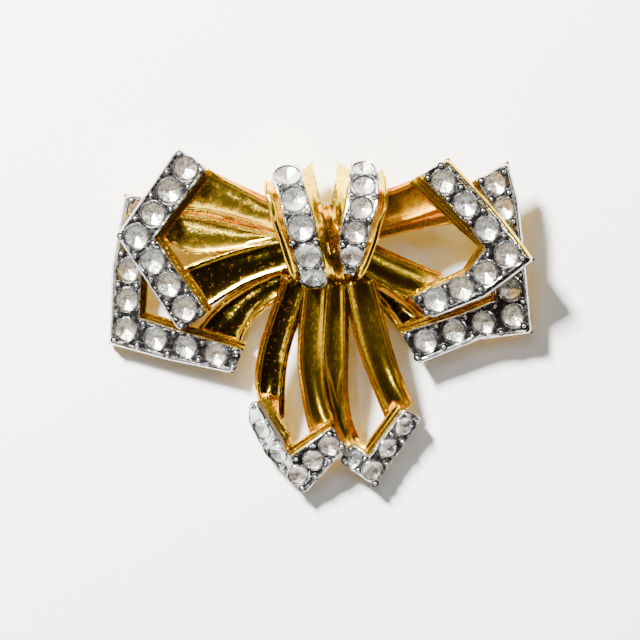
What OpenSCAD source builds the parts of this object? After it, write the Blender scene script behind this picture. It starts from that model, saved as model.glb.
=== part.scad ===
// Bow brooch: a gold-plated cast bow with two loops on each side, two tails and a two-lobed knot,
// rhodium-plated pave bands set with round cut stones, and a plain pin behind.
// +X is to the right, +Y is up the bow, +Z is towards whoever looks at its face.
// Z = 0 is the surface that the bow lies on.

/* [Bow] */
// Width of the bow from elbow to elbow
bow_w = 57.2; // [50:0.1:64]
// Height of the bow from its top corners to its tail tips
bow_h = 46.6; // [42:0.1:52]
// Height of the knot's straps above the surface that the bow lies on
bow_rise = 12.4; // [11.5:0.1:14]

/* [Casting] */
// Thickness of a ribbon's wall
ribbon_t = 1; // [0.7:0.05:1.3]
// Depth of the flute along a ribbon
flute = 0.6; // [0.3:0.05:0.8]
// Thickness of the gold back under a band
back_t = 0.5; // [0.4:0.05:0.6]
// Width of the gold ledge along a band's inner edge
ledge_w = 0.9; // [0.6:0.05:1.1]
// Height of the knot's underside
knot_floor = 2.8; // [2.2:0.1:3.4]
// Radius of the fillet that runs a ribbon into the knot
fillet_r = 0.6; // [0.4:0.05:0.8]

/* [Settings] */
// Thickness of a pave band
band_t = 1.05; // [1:0.05:1.2]
// Width of the sloping skirt along a band's outer edge
skirt_w = 0.5; // [0.3:0.05:0.55]
// Gap between a setting and the casting
fit_gap = 0.06; // [0.04:0.01:0.1]
// Diameter of a prong bead
bead_d = 1.05; // [0.8:0.05:1.1]

/* [Stones] */
// Diameter of a stone in the front loops
front_stone_d = 3; // [2.6:0.05:3.05]
// Diameter of a stone in the back loops
back_stone_d = 2.75; // [2.4:0.05:2.8]
// Diameter of a stone in the tails
tail_stone_d = 2.5; // [2.2:0.05:2.55]
// Diameter of a stone over the knot's left lobe
left_knot_stone_d = 3.3; // [2.8:0.05:3.35]
// Diameter of a stone over the knot's right lobe
right_knot_stone_d = 2.8; // [2.4:0.05:2.85]
// Gap round a stone in its seat
stone_gap = 0.05; // [0.04:0.01:0.08]

/* [Pin] */
// Diameter of the pin's stem
stem_d = 0.9; // [0.7:0.05:1]
// Length of the stem
stem_l = 32; // [28:0.5:34]
// Distance from the hinge lug to the catch
post_span = 29; // [26:0.5:30]
// Width of the lug and of the catch
post_w = 2; // [1.6:0.1:2.6]
// Height of the stem's axis above the surface
stem_z = 1.3; // [1.1:0.05:1.5]
// Gap between the stem and the holes that hold it
stem_gap = 0.08; // [0.05:0.01:0.12]

/* [Hidden] */

// A place given as shares of half the width, half the height and the rise
function at(x, y, z) = [x * bow_w / 2, y * bow_h / 2, z * bow_rise];
function unit(v) = v / norm(v);
function upward(v) = v.z < 0 ? -v : v;
function mix(a, b, s) = a + (b - a) * s;

// Bands. Each row is a cut across the band: its outer edge x, y, z and its inner edge x, y, z, in shares.
LEFT_FRONT_ROWS = [
    [-0.68, 0.993, 0.645, -0.535, 0.875, 0.67],
    [-0.96, 0.49, 0.55, -0.78, 0.48, 0.575],
    [-0.67, -0.06, 0.43, -0.535, 0.045, 0.46],
];
RIGHT_FRONT_ROWS = [
    [0.587, 0.93, 0.7, 0.457, 0.833, 0.66],
    [0.789, 0.668, 0.655, 0.676, 0.55, 0.622],
    [0.988, 0.346, 0.6, 0.76, 0.415, 0.58],
    [0.759, 0.133, 0.53, 0.668, 0.275, 0.535],
    [0.517, 0.01, 0.455, 0.41, 0.135, 0.49],
];
LEFT_BACK_ROWS = [
    [-0.925, 0.725, 0.385, -0.79, 0.7, 0.395],
    [-0.985, 0.33, 0.285, -0.84, 0.37, 0.32],
    [-1, -0.135, 0.17, -0.853, 0.02, 0.235],
    [-0.732, -0.226, 0.177, -0.615, -0.072, 0.24],
    [-0.42, -0.306, 0.21, -0.368, -0.163, 0.265],
];
RIGHT_BACK_ROWS = [
    [0.872, 0.913, 0.5, 0.718, 0.804, 0.49],
    [0.918, 0.695, 0.445, 0.788, 0.66, 0.435],
    [0.984, -0.072, 0.265, 0.811, 0.123, 0.315],
    [0.737, -0.112, 0.26, 0.653, 0.043, 0.315],
    [0.457, -0.25, 0.24, 0.368, -0.066, 0.3],
];
LEFT_TAIL_ROWS = [
    [-0.345, -0.472, 0.21, -0.312, -0.455, 0.34],
    [-0.347, -0.575, 0.155, -0.27, -0.552, 0.37],
    [-0.266, -0.77, 0.125, -0.196, -0.695, 0.355],
    [-0.079, -0.993, 0.15, -0.145, -0.775, 0.325],
    [0.112, -0.735, 0.315, 0.047, -0.598, 0.38],
];
RIGHT_TAIL_ROWS = [
    [0.476, -0.564, 0.16, 0.387, -0.506, 0.33],
    [0.252, -0.953, 0.145, 0.219, -0.77, 0.305],
    [0.07, -0.81, 0.175, 0.135, -0.7, 0.225],
];

// Columns: name, rows, number of the elbow's row, stones before the elbow, stones after it,
// place of the first stone and of the last along their arms, stone diameter,
// width of the ledge at the first row, the elbow and the last row as shares of ledge_w, width of the skirt as a share
BANDS = [
    ["left_front", LEFT_FRONT_ROWS, 1, 3, 3, 0.88, 0.84, front_stone_d, 1, 1, 1, 0.6],
    ["right_front", RIGHT_FRONT_ROWS, 2, 3, 3, 0.85, 0.83, front_stone_d, 2, 0.9, 0.1, 1.6],
    ["left_back", LEFT_BACK_ROWS, 2, 4, 3, 0.9, 0.8, back_stone_d, 1, 1, 1, 1.2],
    ["right_back", RIGHT_BACK_ROWS, 2, 5, 3, 0.92, 0.84, back_stone_d, 0.8, 0.9, 1, 1],
    ["left_tail", LEFT_TAIL_ROWS, 3, 2, 2, 0.67, 0.77, tail_stone_d, 1.2, 0.9, 0.5, 0.4],
    ["right_tail", RIGHT_TAIL_ROWS, 1, 2, 1, 0.78, 0.72, tail_stone_d, 1, 1, 1, 0.8],
];
function name_of(band) = band[0];
function elbow_of(band) = band[2];
function before_of(band) = band[3];
function after_of(band) = band[4];
function stones_of(band) = band[3] + 1 + band[4];
function stone_d_of(band) = band[7];
function ledge_of(band, row) =
    let (elbow = elbow_of(band), last = len(band[1]) - 1)
    ledge_w * (row < elbow ? mix(band[8], band[9], row / elbow) : mix(band[9], band[10], (row - elbow) / (last - elbow)));
function skirt_of(band) = skirt_w * band[11];
// Cuts across a band's face in millimetres, as pairs of an outer and an inner point, with the skirt outside them
function cuts_of(band) = [for (r = band[1])
    let (outer = at(r[0], r[1], r[2]), inner = at(r[3], r[4], r[5]))
    [outer - unit(outer - inner) * skirt_of(band), inner]];

// Ribbons. Each row is a cut across the ribbon: one edge x, y, z and the other edge x, y, z, in shares.
// A ribbon starts under its band and ends in the knot.
RIBBONS = [
    // Left front loop: upper ribbon, its folded inner side, lower ribbon
    [
        [-0.54, 0.885, 0.56, -0.69, 0.627, 0.5],
        [-0.4, 0.78, 0.595, -0.52, 0.62, 0.52],
        [-0.21, 0.66, 0.615, -0.2, 0.51, 0.56],
    ],
    [
        [-0.71, 0.615, 0.475, -0.745, 0.48, 0.43],
        [-0.6, 0.61, 0.5, -0.62, 0.385, 0.405],
        [-0.4, 0.555, 0.53, -0.42, 0.405, 0.45],
        [-0.2, 0.5, 0.555, -0.19, 0.455, 0.52],
    ],
    [
        [-0.67, 0.295, 0.42, -0.55, 0.06, 0.355],
        [-0.43, 0.4, 0.46, -0.335, 0.225, 0.395],
        [-0.15, 0.49, 0.525, -0.12, 0.31, 0.465],
    ],
    // Left back loop: upper ribbon, lower ribbon
    [
        [-0.8, 0.66, 0.28, -0.81, 0.43, 0.235],
        [-0.57, 0.73, 0.315, -0.57, 0.465, 0.29],
        [-0.18, 0.67, 0.37, -0.18, 0.51, 0.37],
    ],
    [
        [-0.605, -0.072, 0.145, -0.378, -0.157, 0.16],
        [-0.5, 0.08, 0.225, -0.363, -0.06, 0.195],
        [-0.335, 0.215, 0.325, -0.27, 0.083, 0.3],
        [-0.13, 0.33, 0.405, -0.115, 0.18, 0.39],
    ],
    // Right front loop: upper ribbon, the wall under its ridge, lower ribbon
    [
        [0.457, 0.825, 0.555, 0.58, 0.65, 0.515],
        [0.36, 0.77, 0.58, 0.42, 0.58, 0.53],
        [0.24, 0.715, 0.6, 0.235, 0.52, 0.55],
    ],
    [
        [0.6, 0.632, 0.505, 0.635, 0.57, 0.415],
        [0.42, 0.575, 0.52, 0.445, 0.525, 0.41],
        [0.25, 0.522, 0.545, 0.26, 0.475, 0.45],
    ],
    [
        [0.57, 0.255, 0.43, 0.415, 0.135, 0.385],
        [0.4, 0.34, 0.465, 0.317, 0.18, 0.395],
        [0.225, 0.435, 0.51, 0.168, 0.285, 0.45],
    ],
    // Right back loop: upper ribbon, lower ribbon
    [
        [0.74, 0.78, 0.37, 0.795, 0.604, 0.32],
        [0.5, 0.787, 0.39, 0.5, 0.615, 0.365],
        [0.25, 0.718, 0.42, 0.25, 0.535, 0.4],
    ],
    [
        [0.513, -0.01, 0.2, 0.373, -0.062, 0.19],
        [0.382, 0.123, 0.275, 0.298, 0.066, 0.25],
        [0.187, 0.283, 0.42, 0.205, 0.19, 0.4],
    ],
    // Tails: four ribbons from left to right
    [
        [-0.165, 0.265, 0.45, -0.05, 0.26, 0.45],
        [-0.27, -0.106, 0.4, -0.149, -0.106, 0.4],
        [-0.303, -0.312, 0.355, -0.182, -0.323, 0.355],
        [-0.3, -0.45, 0.225, -0.2, -0.575, 0.26],
    ],
    [
        [-0.08, 0.215, 0.455, 0.035, 0.22, 0.475],
        [-0.107, -0.175, 0.42, 0.015, -0.185, 0.455],
        [-0.084, -0.42, 0.36, 0.019, -0.403, 0.39],
        [-0.045, -0.665, 0.25, 0.065, -0.58, 0.29],
    ],
    [
        [0.01, 0.25, 0.46, 0.11, 0.24, 0.45],
        [0, -0.175, 0.44, 0.112, -0.175, 0.42],
        [0.033, -0.403, 0.385, 0.103, -0.415, 0.36],
        [0.075, -0.587, 0.265, 0.121, -0.61, 0.25],
        [0.12, -0.72, 0.145, 0.16, -0.7, 0.145],
    ],
    [
        [0.1, 0.245, 0.45, 0.235, 0.255, 0.445],
        [0.168, -0.117, 0.415, 0.308, -0.106, 0.41],
        [0.242, -0.358, 0.345, 0.359, -0.312, 0.345],
        [0.325, -0.595, 0.22, 0.425, -0.485, 0.2],
    ],
];
// Columns: place across the ribbon as a share of its width, lift as a share of the flute's depth
RIBBON_PROFILE = [
    [0, 0],
    [0.08, 0],
    [0.14, -0.45],
    [0.3, -0.85],
    [0.5, -1],
    [0.7, -0.85],
    [0.86, -0.45],
    [0.92, 0],
    [1, 0],
];
// The same columns for the wall between a lobe's edge and its strap, and for the valley
WALL_PROFILE = [
    [0, 0],
    [0.16, 0],
    [0.28, -0.5],
    [0.65, -0.6],
    [0.9, 0],
];
VALLEY_PROFILE = [
    [0, 0],
    [0.25, 0.9],
    [0.5, 0],
    [0.75, 0.9],
    [1, 0],
];
// Cuts drawn between one row of a ribbon and the next
RIBBON_STEPS = 3;

// Knot. Each row is a cut across a lobe: x and y of its outer edge, of the strap's outer edge,
// of the strap's inner edge and of the valley beside the other lobe, in shares.
LEFT_LOBE = [
    [-0.27, 0.81, -0.233, 0.844, -0.103, 0.9, -0.047, 0.918],
    [-0.27, 0.753, -0.219, 0.77, -0.084, 0.804, -0.028, 0.81],
    [-0.252, 0.667, -0.191, 0.678, -0.061, 0.684, 0, 0.667],
    [-0.233, 0.569, -0.177, 0.569, -0.033, 0.569, 0.028, 0.569],
    [-0.205, 0.466, -0.149, 0.466, -0.019, 0.466, 0.042, 0.466],
    [-0.177, 0.352, -0.121, 0.352, 0, 0.363, 0.061, 0.352],
    [-0.149, 0.26, -0.098, 0.255, 0.014, 0.266, 0.075, 0.26],
    [-0.121, 0.2, -0.079, 0.187, 0.023, 0.19, 0.089, 0.186],
];
RIGHT_LOBE = [
    [0.28, 0.878, 0.252, 0.896, 0.131, 0.913, 0.075, 0.918],
    [0.303, 0.804, 0.266, 0.81, 0.126, 0.815, 0.061, 0.81],
    [0.308, 0.667, 0.261, 0.672, 0.117, 0.678, 0.042, 0.667],
    [0.28, 0.552, 0.233, 0.564, 0.093, 0.569, 0.042, 0.569],
    [0.261, 0.455, 0.214, 0.461, 0.079, 0.466, 0.051, 0.466],
    [0.228, 0.34, 0.182, 0.346, 0.089, 0.358, 0.07, 0.352],
    [0.196, 0.255, 0.149, 0.266, 0.103, 0.278, 0.084, 0.26],
    [0.154, 0.19, 0.131, 0.19, 0.112, 0.19, 0.103, 0.18],
];
// First row in which the lobes touch
NOTCH_ROW = 2;
// The arch that both lobes follow: its middle and half length in shares, its springing as a share of the rise
ARCH_MID = 0.552;
ARCH_HALF = 0.39;
ARCH_SPRING = 0.32;
// How far the lobe's edge and the valley lie under the straps' level, as shares of the rise
EDGE_DROP = 0.26;
VALLEY_DROP = 0.24;
// Columns: name, lobe rows, last row of the strap, stone diameter, arch angle of the first stone and of the last
KNOT_STRAPS = [
    ["left_knot", LEFT_LOBE, 7, left_knot_stone_d, -47, 52],
    ["right_knot", RIGHT_LOBE, 6, right_knot_stone_d, -56, 27],
];
KNOT_STONES = 5;

// A stone's parts as shares of its diameter
STONE_SIDES = 8;
TABLE = 0.56;
CULET = 0.16;
CROWN = 0.17;
GIRDLE = 0.03;
PAVILION = 0.24;
// How far a prong bead stands in from the edge that it guards, as a share of its diameter
BEAD_INSET = 0.53;
// How far a prong bead over the knot stands off its strap's chord, as a share of its diameter
KNOT_BEAD_LIFT = 0.2;
// Place of the stem across the bow, as a share of half the height
STEM_PLACE = 0.665;
// Depth of the posts' roots in the ribbons above them, as shares of the rise
HINGE_ROOT = 0.26;
CATCH_ROOT = 0.34;

// A wall between a grid of points on its face and a grid on its back. Both are split along the same diagonals,
// so that a wall laid on another one follows it where they twist.
module slab(face, back) {
    rows = len(face);
    cols = len(face[0]);
    ring = 2 * cols;
    points = [for (i = [0:rows - 1]) each concat(face[i], [for (j = [cols - 1:-1:0]) back[i][j]])];
    walls = [for (i = [0:rows - 2]) for (k = [0:ring - 1]) let (a = i * ring, b = a + ring, m = (k + 1) % ring)
        each k < cols ? [[a + k, a + m, b + m], [a + k, b + m, b + k]] : [[a + k, a + m, b + k], [a + m, b + m, b + k]]];
    first = [for (j = [0:cols - 2]) let (k = ring - 1 - j) each [[j, k, j + 1], [j + 1, k, k - 1]]];
    end = (rows - 1) * ring;
    last = [for (f = first) [end + f[0], end + f[2], end + f[1]]];
    along = face[1][0] - face[0][0];
    across = face[0][cols - 1] - face[0][0];
    outward = cross(along, across) * (face[0][0] - back[0][0]) > 0;
    faces = concat(walls, first, last);
    polyhedron(points, outward ? faces : [for (f = faces) [f[0], f[2], f[1]]]);
}

// Turns +Z to a direction and moves to a place
module facing(place, n) {
    translate(place) rotate([0, acos(n.z), atan2(n.y, n.x)]) children();
}

// Geometry of the cuts across a band or a ribbon
function middle(cut) = (cut[0] + cut[1]) / 2;
function heading(cuts, i) = middle(cuts[min(i + 1, len(cuts) - 1)]) - middle(cuts[max(i - 1, 0)]);
function normal(cuts, i) = unit(upward(cross(heading(cuts, i), cuts[i][0] - cuts[i][1])));
// How much longer a slanting cut is than the width square to the arm
function slant(cuts, i) =
    let (j = i == len(cuts) - 1 ? i - 1 : i + 1)
    1 / norm(cross(unit(middle(cuts[j]) - middle(cuts[i])), unit(cuts[i][0] - cuts[i][1])));

// Arm of a band from its elbow to one end
function arm(cuts, elbow, side) =
    side == 0 ? [for (i = [elbow:-1:0]) cuts[i]] : [for (i = [elbow:len(cuts) - 1]) cuts[i]];
function lengths(cuts) = [for (i = [1:len(cuts) - 1]) norm(middle(cuts[i]) - middle(cuts[i - 1]))];
function total(list, i = 0) = i == len(list) ? 0 : list[i] + total(list, i + 1);
function arm_l(cuts) = total(lengths(cuts));
// Place on an arm's middle line: point, normal, direction square to the arm, half width
function station(cuts, d, i = 0) =
    let (
        a = middle(cuts[i]),
        b = middle(cuts[i + 1]),
        l = norm(b - a)
    )
    d > l && i < len(cuts) - 2 ? station(cuts, d - l, i + 1) :
    let (
        s = d / l,
        out = mix(cuts[i][0], cuts[i + 1][0], s),
        here = mix(a, b, s),
        n = unit(upward(cross(b - a, out - here))),
        side = unit(cross(n, b - a)),
        reach = (out - here) * side
    )
    [here, n, reach < 0 ? -side : side, abs(reach)];

// Stones of a band, in order from the first arm's end: point and normal
function first_places(cuts, band) =
    let (a = arm(cuts, elbow_of(band), 0), step = arm_l(a) * band[5] / before_of(band))
    [for (i = [before_of(band):-1:1]) station(a, i * step)];
function last_places(cuts, band) =
    let (a = arm(cuts, elbow_of(band), 1), step = arm_l(a) * band[6] / after_of(band))
    [for (i = [1:after_of(band)]) station(a, i * step)];
function elbow_place(cuts, band) = [middle(cuts[elbow_of(band)]), normal(cuts, elbow_of(band))];
function stone_places(band) =
    let (cuts = cuts_of(band))
    concat(first_places(cuts, band), [elbow_place(cuts, band)], last_places(cuts, band));

// Prong beads of one arm: a pair between each stone and the next and a pair at the end, one where it is narrow
function arm_beads(cuts, band, side) =
    let (
        a = arm(cuts, elbow_of(band), side),
        n = band[3 + side],
        step = arm_l(a) * band[5 + side] / n,
        stands = concat([for (i = [0:n - 1]) (i + 0.5) * step], [arm_l(a) - bead_d * BEAD_INSET])
    )
    [for (i = [0:n]) for (edge = [1, -1])
        let (s = station(a, stands[i]), reach = s[3] - bead_d * BEAD_INSET, narrow = reach < bead_d / 2)
        if (edge == 1 || i + side > 0 && !narrow) s[0] + s[2] * edge * (narrow ? 0 : reach)];
function elbow_bead(cuts, band) =
    let (c = cuts[elbow_of(band)])
    middle(c) + unit(c[0] - c[1]) * (stone_d_of(band) / 2 + 2 * stone_gap + bead_d / 2);
function bead_places(band) =
    let (cuts = cuts_of(band))
    concat(arm_beads(cuts, band, 0), [elbow_bead(cuts, band)], arm_beads(cuts, band, 1));

// Round cut stone with its girdle's upper edge at Z = 0: table, crown, girdle and pavilion
module stone(d) {
    function ring(r, z, turn) = [for (k = [0:STONE_SIDES - 1])
        let (a = (k + turn) * 360 / STONE_SIDES) [r * cos(a), r * sin(a), z]];
    rings = [
        ring(TABLE * d / 2, CROWN * d, 0),
        ring(d / 2, 0, 0.5),
        ring(d / 2, -GIRDLE * d, 0.5),
        ring(CULET * d / 2, -(GIRDLE + PAVILION) * d, 0.5),
    ];
    n = STONE_SIDES;
    crown = [for (k = [0:n - 1]) let (m = (k + 1) % n) each [[k, m, n + k], [m, n + m, n + k]]];
    below = [for (i = [1:2]) for (k = [0:n - 1]) let (m = (k + 1) % n)
        [i * n + k, i * n + m, (i + 1) * n + m, (i + 1) * n + k]];
    table = [[for (k = [n - 1:-1:0]) k]];
    culet = [[for (k = [0:n - 1]) 3 * n + k]];
    polyhedron([for (r = rings) each r], concat(table, crown, below, culet));
}

// Seat cut for a stone of that diameter
module seat(d) {
    depth = (GIRDLE + PAVILION) * d + stone_gap;
    translate([0, 0, -depth]) cylinder(h = 2 * depth, d = d + 2 * stone_gap, $fn = 32);
}

module band_plate(cuts, skirt) {
    back = [for (i = [0:len(cuts) - 1])
        let (drop = normal(cuts, i) * band_t, out = unit(cuts[i][0] - cuts[i][1]))
        [cuts[i][0] - drop + out * skirt, cuts[i][1] - drop]];
    slab(cuts, back);
}

module band_setting(band) {
    cuts = cuts_of(band);
    color("lightslategray") difference() {
        union() {
            band_plate(cuts, skirt_of(band));
            for (p = bead_places(band)) translate(p) sphere(d = bead_d, $fn = 16);
        }
        for (p = stone_places(band)) facing(p[0], p[1]) seat(stone_d_of(band));
    }
}

module band_stone(band, i) {
    p = stone_places(band)[i];
    color("whitesmoke") facing(p[0], p[1]) stone(stone_d_of(band));
}

// Gold back under a band, with the ledge that shows along the band's inner edge
module band_back(band) {
    cuts = cuts_of(band);
    depth = band_t + fit_gap;
    last = len(cuts) - 1;
    face = [for (i = [0:last])
        let (
            n = normal(cuts, i),
            out = unit(cuts[i][0] - cuts[i][1]),
            flat = unit([out.x, out.y, 0]),
            inner = cuts[i][1] - n * depth
        )
        [cuts[i][0] - n * depth + out * skirt_of(band), inner, inner - flat * ledge_of(band, i) * slant(cuts, i)]];
    back = [for (i = [0:last])
        let (n = normal(cuts, i))
        [face[i][0] - n * back_t, face[i][1] - n * back_t, face[i][2] - [0, 0, back_t]]];
    slab(face, back);
}

// Smooth cuts through the rows of a ribbon
function blend(p0, p1, p2, p3, s) =
    0.5 * (2 * p1 + (p2 - p0) * s + (2 * p0 - 5 * p1 + 4 * p2 - p3) * s * s
        + (3 * p1 - p0 - 3 * p2 + p3) * s * s * s);
function ribbon_cuts(rows) =
    let (
        c = [for (r = rows) [at(r[0], r[1], r[2]), at(r[3], r[4], r[5])]],
        last = len(c) - 1
    )
    concat(
        [for (i = [0:last - 1]) for (k = [0:RIBBON_STEPS - 1]) let (s = k / RIBBON_STEPS)
            [for (e = [0, 1]) blend(c[max(i - 1, 0)][e], c[i][e], c[i + 1][e], c[min(i + 2, last)][e], s)]],
        [c[last]]
    );

module ribbon(rows) {
    cuts = ribbon_cuts(rows);
    last = len(cuts) - 1;
    face = [for (i = [0:last])
        let (n = normal(cuts, i))
        [for (p = RIBBON_PROFILE) mix(cuts[i][0], cuts[i][1], p[0]) + n * flute * p[1]]];
    back = [for (i = [0:last])
        let (n = normal(cuts, i))
        [for (j = [0:len(RIBBON_PROFILE) - 1]) face[i][j] - n * ribbon_t]];
    slab(face, back);
}

// Point and normal of the knot's arch at a place across the bow
function arch(x, y) =
    let (
        half = ARCH_HALF * bow_h / 2,
        tall = (1 - ARCH_SPRING) * bow_rise,
        u = (y - ARCH_MID) / ARCH_HALF,
        v = sqrt(max(0, 1 - u * u))
    )
    [
        [x * bow_w / 2, y * bow_h / 2, ARCH_SPRING * bow_rise + tall * v],
        unit([0, u / half, v / tall])
    ];
// Point at a depth under the arch, square to it
function under(x, y, depth) = let (a = arch(x, y)) a[0] - a[1] * depth;
// Point straight below the arch
function below(x, y, drop) = arch(x, y)[0] - [0, 0, drop];

// A block from a grid of points down to the knot's underside
module block(face) {
    slab(face, [for (row = face) [for (p = row) [p.x, p.y, knot_floor]]]);
}

module lobe(rows) {
    block([for (r = rows)
        let (edge = below(r[0], r[1], EDGE_DROP * bow_rise), strap = under(r[2], r[3], band_t + fit_gap))
        concat(
            [for (p = WALL_PROFILE) mix(edge, strap, p[0]) + arch(r[0], r[1])[1] * flute * p[1]],
            [strap, under(r[4], r[5], band_t + fit_gap), below(r[6], r[7], VALLEY_DROP * bow_rise)]
        )]);
}

// The ridged valley between the lobes, which reaches a flute's depth into each of them
module valley() {
    block([for (i = [NOTCH_ROW:len(LEFT_LOBE) - 1])
        let (
            a = below(LEFT_LOBE[i][6], LEFT_LOBE[i][7], VALLEY_DROP * bow_rise) - [flute, 0, 0],
            b = below(RIGHT_LOBE[i][6], RIGHT_LOBE[i][7], VALLEY_DROP * bow_rise) + [flute, 0, 0]
        )
        [for (p = VALLEY_PROFILE) mix(a, b, p[0]) + [0, 0, flute * p[1]]]]);
}

// Fillet that runs a ribbon's end into the knot
module root(end, core) {
    hull() for (p = concat(end, [core])) translate(p - [0, 0, ribbon_t]) sphere(r = fillet_r, $fn = 8);
}

// Post on the back of a ribbon, bored for the stem
module post(x, root_z) {
    translate([x, STEM_PLACE * bow_h / 2, 0]) hull() {
        translate([-post_w / 2, 0, stem_z]) rotate([0, 90, 0]) cylinder(h = post_w, r = stem_z, $fn = 24);
        translate([-post_w / 2, -post_w / 2, stem_z]) cube([post_w, post_w, root_z - stem_z]);
    }
}

module bow_casting() {
    core = at(0.02, ARCH_MID - 0.1, ARCH_SPRING + 0.1);
    color("goldenrod") difference() {
        union() {
            for (b = BANDS) band_back(b);
            for (r = RIBBONS) {
                ribbon(r);
                knot_end = r[0][2] > r[len(r) - 1][2] ? r[0] : r[len(r) - 1];
                root([for (e = [0, 3]) at(knot_end[e], knot_end[e + 1], knot_end[e + 2])], core);
            }
            lobe(LEFT_LOBE);
            lobe(RIGHT_LOBE);
            valley();
            post(-post_span / 2, HINGE_ROOT * bow_rise);
            post(post_span / 2, CATCH_ROOT * bow_rise);
        }
        translate([-stem_l / 2, STEM_PLACE * bow_h / 2, stem_z]) rotate([0, 90, 0])
            cylinder(h = stem_l, d = stem_d + 2 * stem_gap, $fn = 24);
    }
}

module pin_stem() {
    tip_l = 3 * stem_d;
    color("silver") translate([-stem_l / 2, STEM_PLACE * bow_h / 2, stem_z]) rotate([0, 90, 0]) {
        cylinder(h = stem_l - tip_l, d = stem_d, $fn = 24);
        translate([0, 0, stem_l - tip_l]) cylinder(h = tip_l, d1 = stem_d, d2 = stem_d / 4, $fn = 24);
    }
}

// Strap over a lobe of the knot
function strap_rows(strap) = [for (i = [0:strap[2]]) strap[1][i]];
// Where a strap's middle line crosses a place up the bow
function strap_x(rows, y, i = 0) =
    let (
        a = [rows[i][2] + rows[i][4], rows[i][3] + rows[i][5]] / 2,
        b = [rows[i + 1][2] + rows[i + 1][4], rows[i + 1][3] + rows[i + 1][5]] / 2
    )
    y < b.y && i < len(rows) - 2 ? strap_x(rows, y, i + 1) : mix(a.x, b.x, (a.y - y) / (a.y - b.y));
function knot_places(strap) = [for (i = [0:KNOT_STONES - 1])
    let (
        angle = mix(strap[4], strap[5], i / (KNOT_STONES - 1)),
        y = ARCH_MID - ARCH_HALF * sin(angle)
    )
    arch(strap_x(strap_rows(strap), y), y)];

module strap_plate(rows) {
    function across(depth) = [for (r = rows) [under(r[2], r[3], depth), under(r[4], r[5], depth)]];
    slab(across(0), across(band_t));
}

module knot_setting(strap) {
    rows = strap_rows(strap);
    places = knot_places(strap);
    color("lightslategray") difference() {
        union() {
            strap_plate(rows);
            for (i = [1:KNOT_STONES - 1]) {
                between = (places[i - 1][0] + places[i][0]) / 2;
                lift = unit(places[i - 1][1] + places[i][1]) * KNOT_BEAD_LIFT * bead_d;
                half_w = norm(under(rows[i][4], rows[i][5], 0) - under(rows[i][2], rows[i][3], 0)) / 2;
                reach = half_w - bead_d * BEAD_INSET;
                for (side = [-1, 1]) translate(between + [side * reach, 0, 0] + lift) sphere(d = bead_d, $fn = 16);
            }
        }
        for (p = places) facing(p[0], p[1]) seat(strap[3]);
    }
}

module knot_stones(strap) {
    color("whitesmoke") for (p = knot_places(strap)) facing(p[0], p[1]) stone(strap[3]);
}

bow_casting();
for (b = BANDS) band_setting(b);
for (s = KNOT_STRAPS) knot_setting(s);
for (b = BANDS) for (i = [1:stones_of(b)])
    band_stone(b, i - 1);
for (s = KNOT_STRAPS) knot_stones(s);
pin_stem();
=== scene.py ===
"""Bow brooch: a gold-plated cast bow, rhodium-plated bands of cut stones, and a plain pin behind.

Every length is in metres in the part's own frame: +X to the right, +Y up the bow, +Z out of its face,
and Z = 0 is the surface that the bow lies on.
"""

import logging
import math
from dataclasses import dataclass, field
from enum import Enum
from typing import Any, Callable, Iterable, Sequence

import bmesh
import bpy
from bmesh.types import BMEdge, BMesh, BMFace, BMVert
from bpy.types import ID, Material, Mesh, Node, NodeSocket, NodeTree, Object
from mathutils import Matrix, Vector, noise


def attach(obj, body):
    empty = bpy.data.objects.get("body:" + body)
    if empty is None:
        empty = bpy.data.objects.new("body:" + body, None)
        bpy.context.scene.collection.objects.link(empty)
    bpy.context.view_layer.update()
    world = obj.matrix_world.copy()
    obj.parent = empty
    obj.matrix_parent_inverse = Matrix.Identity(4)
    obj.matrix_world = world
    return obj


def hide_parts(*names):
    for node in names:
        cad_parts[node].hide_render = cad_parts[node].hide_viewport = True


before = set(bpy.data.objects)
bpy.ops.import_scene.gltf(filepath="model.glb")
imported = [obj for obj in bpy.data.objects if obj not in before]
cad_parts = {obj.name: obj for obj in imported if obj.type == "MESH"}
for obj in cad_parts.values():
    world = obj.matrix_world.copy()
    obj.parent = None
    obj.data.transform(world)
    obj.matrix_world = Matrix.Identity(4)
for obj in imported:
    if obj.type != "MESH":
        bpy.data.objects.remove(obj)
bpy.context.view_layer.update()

log = logging.getLogger("bow_brooch")

MM = 0.001
UM = 1e-6
HALF_W = 28.6 * MM
HALF_H = 23.3 * MM
RISE = 12.4 * MM
RIBBON_T = 1.0 * MM
FLUTE = 0.6 * MM
BACK_T = 0.5 * MM
LEDGE_W = 0.9 * MM
KNOT_FLOOR = 2.8 * MM
BAND_T = 1.05 * MM
FIT_GAP = 0.06 * MM
BEAD_D = 1.05 * MM
BEAD_INSET = 0.53 * BEAD_D
STONE_GAP = 0.05 * MM
EDGE_ROUND = 0.05 * MM
WELD = 1e-7

# Angles in degrees from which an edge is left crisp, and from which a ledge's edge is rounded
RIBBON_CREASE, LEDGE_CREASE, KNOT_CREASE, PIN_CREASE, PLATE_CREASE = 180, 60, 50, 40, 38
BEVEL_FROM = 35

Row = tuple[float, float, float, float, float, float]
Rows = Sequence[Row]
Cut = tuple[Vector, Vector]
Span = tuple[float, float]
Placer = Callable[[int, int], Vector]


# ---- Places and cuts -------------------------------------------------------------------------------------


def at(x: float, y: float, z: float) -> Vector:
    """Place given as shares of half the width, half the height and the rise."""
    return Vector((x * HALF_W, y * HALF_H, z * RISE))


def mix(a: Any, b: Any, s: float) -> Any:
    """Value a share of the way from one to the other."""
    return a + (b - a) * s


def smooth(s: float) -> float:
    """Soft step from 0 to 1."""
    s = min(1.0, max(0.0, s))
    return s * s * (3 - 2 * s)


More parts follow.
